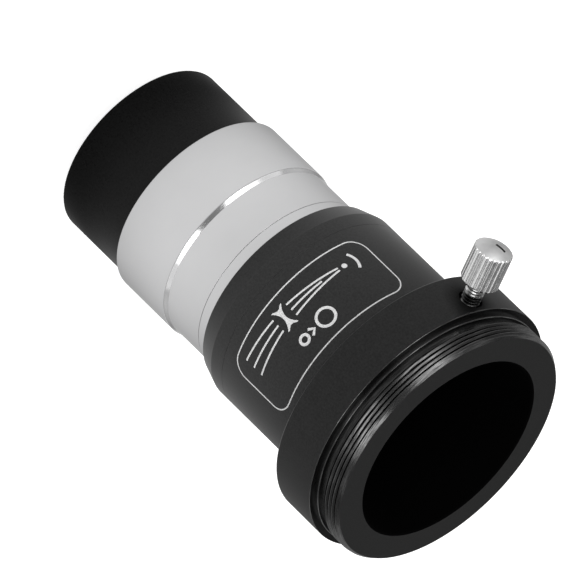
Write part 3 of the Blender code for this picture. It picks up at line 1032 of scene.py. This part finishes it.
def rounded_frame(width, height, corner):
    """A closed path round a rectangle with round corners."""
    half_w, half_h = width / 2 - corner, height / 2 - corner
    middles = ((half_w, half_h), (-half_w, half_h), (-half_w, -half_h), (half_w, -half_h))
    corners = [arc(middle, corner, quarter * pi / 2, (quarter + 1) * pi / 2, steps=10)
               for quarter, middle in enumerate(middles)]
    path = []
    for here, following in zip(corners, corners[1:] + corners[:1]):
        path += here + line(here[-1], following[0])[1:-1]
    return path


def hollow_lens(bm, middle, size):
    """A solid mark the shape of a hollow lens seen from its side."""
    end_width, waist, height = size
    steps = [2 * index / LENS_SYMBOL_STEPS - 1 for index in range(LENS_SYMBOL_STEPS + 1)]
    path = [(middle[0], middle[1] + step * height / 2) for step in steps]
    ribbon(bm, path, [waist + (end_width - waist) * step ** 2 for step in steps])


def ray_diagram(bm):
    """Three rays that close in on a hollow lens and leave it for a more distant focus."""
    enters, at_lens, at_focus = RAY_SPREAD
    for side in (-1, 0, 1):
        start, stop = RAYS_IN
        ribbon(bm, line((start, RAY_ROW + side * enters), (stop, RAY_ROW + side * at_lens)), FINE_STROKE)
        start, stop = RAYS_OUT
        far = stop if side else stop + MIDDLE_RAY_CUT
        spread = at_lens + (at_focus - at_lens) * (far - start) / (stop - start)
        ribbon(bm, line((start, RAY_ROW + side * at_lens), (far, RAY_ROW + side * spread)), FINE_STROKE)
    hollow_lens(bm, (LENS_AT, RAY_ROW), LENS_SYMBOL)
    focus, dot_r = FOCUS
    ribbon(bm, ring_path((focus, RAY_ROW), dot_r / 2 + DOT_HOLE_R), dot_r, closed=True)
    screen_r, half_turn, shift = SCREEN
    ribbon(bm, arc((focus + shift, RAY_ROW), screen_r, pi - half_turn, pi + half_turn), STROKE)


def enlarging_mark(bm):
    """A small ring, a pointer and a ring twice its size."""
    for at, radius in (SMALL_RING, LARGE_RING):
        ribbon(bm, ring_path((at, MARK_ROW), radius), STROKE, closed=True)
    tail, tip, reach = POINTER
    ribbon(bm, [(tail, MARK_ROW - reach), (tip, MARK_ROW), (tail, MARK_ROW + reach)], STROKE)


def badge():
    """The printed frame with its two pictures."""
    bm = bmesh.new()
    width, height = BADGE_SIZE
    frame_path = rounded_frame(width - BADGE_LINE, height - BADGE_LINE, BADGE_CORNER)
    ribbon(bm, frame_path, BADGE_LINE, closed=True)
    ray_diagram(bm)
    enlarging_mark(bm)
    make_piece("badge_print", bm, (WHITE_INK,), "barlow_body", None)


# ---------------------------------------------------------------- studio

def aim(thing, place, target):
    """Put a light at a place and turn it to a target."""
    thing.location = place
    thing.rotation_euler = (target - place).to_track_quat("-Z", "Y").to_euler()


def round_from_front(turn, tilt, distance):
    """A place this far from the studio's middle, turned from its front and tilted from the floor."""
    azimuth = FRONT_TURN + turn
    flat = Vector((sin(azimuth), -cos(azimuth), 0.0)) * cos(tilt)
    return (flat + Vector((0.0, 0.0, sin(tilt)))) * distance + STUDIO_MIDDLE


def softbox(name, turn, tilt, size, radiance, distance):
    """A light of this size and radiance, turned to the part and out of the camera's sight."""
    data = bpy.data.lights.new(name, "AREA")
    data.shape = "RECTANGLE"
    data.size, data.size_y = size
    data.energy = radiance * pi * size[0] * size[1]
    light = bpy.data.objects.new(name, data)
    light.visible_camera = False
    bpy.context.scene.collection.objects.link(light)
    aim(light, round_from_front(radians(turn), radians(tilt), distance), STUDIO_MIDDLE)


def stage_sheet(name, bm, material, height=0.0):
    """Link a bmesh as part of the studio, not of the object."""
    mesh = bpy.data.meshes.new(name)
    bm.to_mesh(mesh)
    bm.free()
    mesh.materials.append(material)
    sheet = bpy.data.objects.new(name, mesh)
    sheet.location.z = height
    bpy.context.scene.collection.objects.link(sheet)
    return sheet


def floor_material():
    """Pale paper that glows a little, so that shadows on it stay faint."""
    n = Nodes("pale_floor")
    cloud = n.noise(n.place(), 3.0, 2.0)
    return n.finish(Base_Color=n.mix_colour(cloud, grey(0.59), grey(0.60)), Roughness=0.9,
                    Emission_Color=(1.0, 1.0, 1.0, 1.0), Emission_Strength=FLOOR_GLOW,
                    Specular_IOR_Level=0.0)


class Glow(Nodes):
    """A material that only gives off light."""

    def __init__(self, name):
        super().__init__(name)
        self.tree.nodes.remove(self.shader)
        self.light = self.add("ShaderNodeEmission")
        output = next(node for node in self.tree.nodes if node.type == "OUTPUT_MATERIAL")
        self.link(self.light.outputs[0], output.inputs["Surface"])

    def ramp(self, value, reach, stops):
        """Strengths at distances in millimetres, blended between them."""
        node = self.add("ShaderNodeValToRGB")
        self.link(self.maths("DIVIDE", value, reach * MM), node.inputs["Fac"])
        marks = node.color_ramp.elements
        while len(marks) < len(stops):
            marks.new(0.5)
        for mark, (distance, glow) in zip(marks, stops):
            mark.position = distance / reach
            mark.color = (*grey(glow), 1.0)
        return node.outputs["Color"]


def reflector_material():
    """A card dim under the part as a painted shadow of it, full further out, and darker behind the part
    than in front.
    """
    n = Glow("reflector_card")
    split = n.add("ShaderNodeSeparateXYZ")
    n.link(n.place(), split.inputs[0])
    x, y = split.outputs["X"], split.outputs["Y"]
    away = n.maths("SQRT", n.maths("ADD", n.maths("POWER", x, 2.0), n.maths("POWER", y, 2.0)))
    n.link(n.ramp(away, CARD_REACH, CARD_GLOW), n.light.inputs["Color"])
    forward = n.maths("ADD", n.maths("MULTIPLY", x, sin(FRONT_TURN)),
                      n.maths("MULTIPLY", y, -cos(FRONT_TURN)))
    low, high = CARD_FALL
    n.link(n.spread(forward, low, high, -CARD_FALL_REACH, CARD_FALL_REACH), n.light.inputs["Strength"])
    return n.material


def wall_material():
    """The low wall that shiny surfaces see round the floor, fading out at its top."""
    n = Glow("low_wall")
    split = n.add("ShaderNodeSeparateXYZ")
    n.link(n.place(), split.inputs[0])
    n.link(n.ramp(split.outputs["Z"], LOW_WALL_TOP, LOW_WALL_GLOW), n.light.inputs["Color"])
    return n.material


def floor():
    """A pale floor, and under it the card that shiny surfaces see in its place."""
    bm = bmesh.new()
    bmesh.ops.create_grid(bm, x_segments=1, y_segments=1, size=BACKDROP_R)
    stage_sheet("floor", bm, floor_material(), FLOOR_HEIGHT).visible_glossy = False
    bm = bmesh.new()
    bmesh.ops.create_grid(bm, x_segments=1, y_segments=1, size=BACKDROP_R)
    card = stage_sheet("reflector", bm, reflector_material(), FLOOR_HEIGHT - CARD_DROP)
    card.visible_camera = False
    card.visible_diffuse = False
    card.visible_shadow = False


def wall(name, radius, low, high, material):
    """An open ring of wall round the studio, which casts no shadow and gives no light."""
    bm = bmesh.new()
    bmesh.ops.create_cone(bm, segments=WALL_SEGMENTS, radius1=radius, radius2=radius, depth=high - low,
                          matrix=Matrix.Translation((0, 0, (low + high) / 2)))
    ring = stage_sheet(name, bm, material)
    ring.visible_diffuse = False
    ring.visible_shadow = False
    ring.visible_transmission = False
    return ring


def studio():
    """The world's glow, the floor, the walls and the softboxes."""
    world = bpy.data.worlds.new("studio")
    bpy.context.scene.world = world
    world.use_nodes = True
    back = world.node_tree.nodes["Background"]
    back.inputs["Color"].default_value = (1, 1, 1, 1)
    back.inputs["Strength"].default_value = WORLD_GLOW
    floor()
    white = Glow("pale_wall").material
    wall("backdrop", BACKDROP_R, -BACKDROP_R, BACKDROP_R, white).visible_glossy = False
    low_wall = wall("low_wall", LOW_WALL_R, 0.0, LOW_WALL_TOP * MM, wall_material())
    low_wall.visible_camera = False
    for light in SOFTBOXES:
        softbox(*light)
    bpy.context.scene.view_settings.view_transform = "Standard"


def camera():
    """A distant camera with a long lens, rolled so that the part lies across the picture."""
    data = bpy.data.cameras.new("camera")
    data.sensor_width = CAMERA_SENSOR
    data.lens = CAMERA_LENS
    data.clip_end = CAMERA_FAR_END
    eye = bpy.data.objects.new("camera", data)
    bpy.context.scene.collection.objects.link(eye)
    flat = Vector((sin(CAMERA_TURN), -cos(CAMERA_TURN), 0.0)) * cos(CAMERA_TILT)
    outward = flat + Vector((0.0, 0.0, sin(CAMERA_TILT)))
    forward = -outward
    right = forward.cross(Vector((0, 0, 1))).normalized()
    level_up = right.cross(forward)
    up = level_up * cos(CAMERA_ROLL) + right * sin(CAMERA_ROLL)
    side = forward.cross(up)
    turn = Matrix((side, up, -forward)).transposed().to_4x4()
    eye.matrix_world = Matrix.Translation(CAMERA_AIM + outward * CAMERA_DISTANCE) @ turn
    bpy.context.scene.camera = eye


camera()
studio()
lens_cell()
retaining_ring()
doublet()
nosepiece()
stop_ring()
reducer()
barrel()
stud_piece()
screw_head()
badge()
